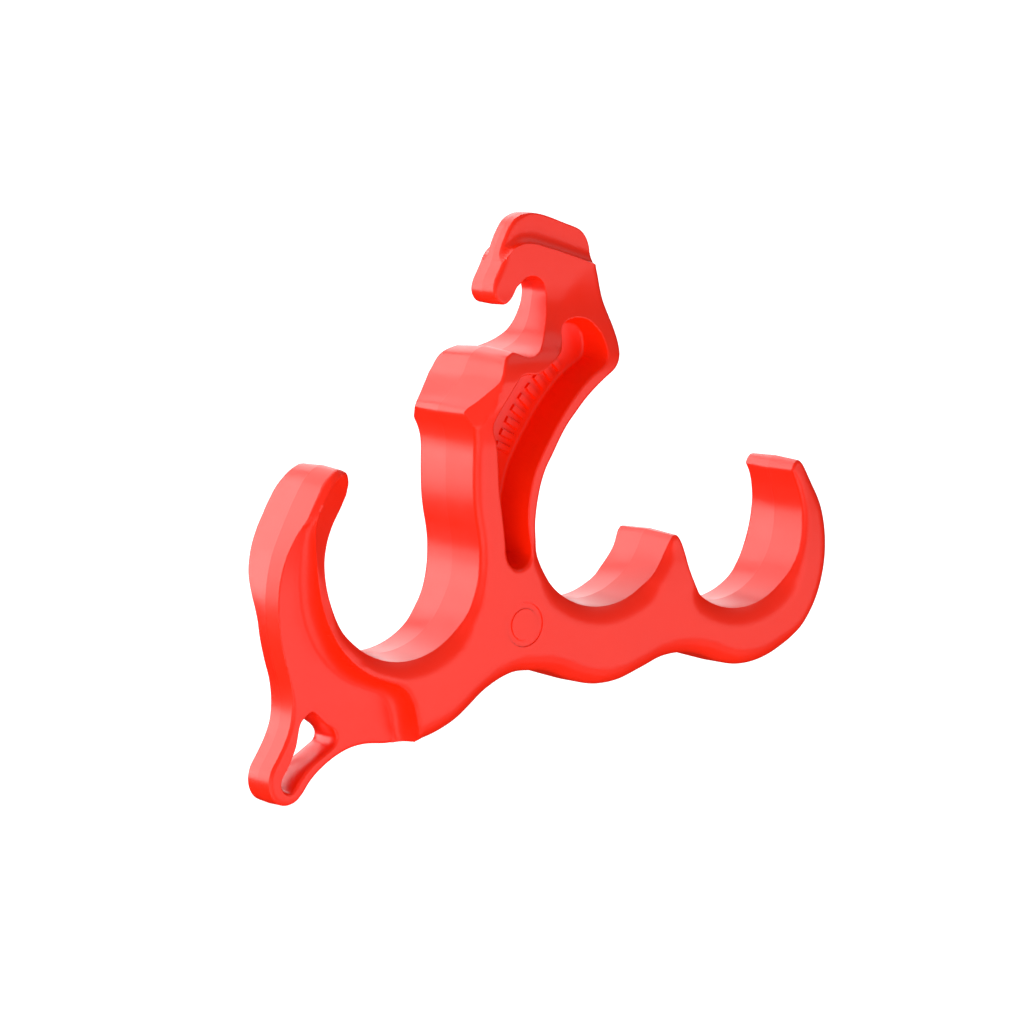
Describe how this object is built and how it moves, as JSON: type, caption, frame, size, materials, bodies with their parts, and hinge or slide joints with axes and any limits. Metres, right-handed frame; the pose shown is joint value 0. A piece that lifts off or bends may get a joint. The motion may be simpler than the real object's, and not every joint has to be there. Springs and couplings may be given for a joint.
{
  "type": "archery hand release",
  "caption": "One-piece moulded three-finger archery hand release with a fixed loop hook, a pocketed neck, scalloped finger bays and a lanyard lug.",
  "frame": {"origin": "in the throat of the loop hook, on the parting plane, where the loop of the bowstring bears", "axes": "+X along the handle from the index finger to the third finger, +Z from the handle up towards the hook and the loop's pull, +Y through the thickness"},
  "size_m": [0.0918, 0.0164, 0.0747],
  "materials": {
    "moulded_red": "satin moulded plastic, dyed through, with a faint moulding texture"
  },
  "bodies": {
    "root": {"release_body": "moulded_red"}
  },
  "joints": []
}
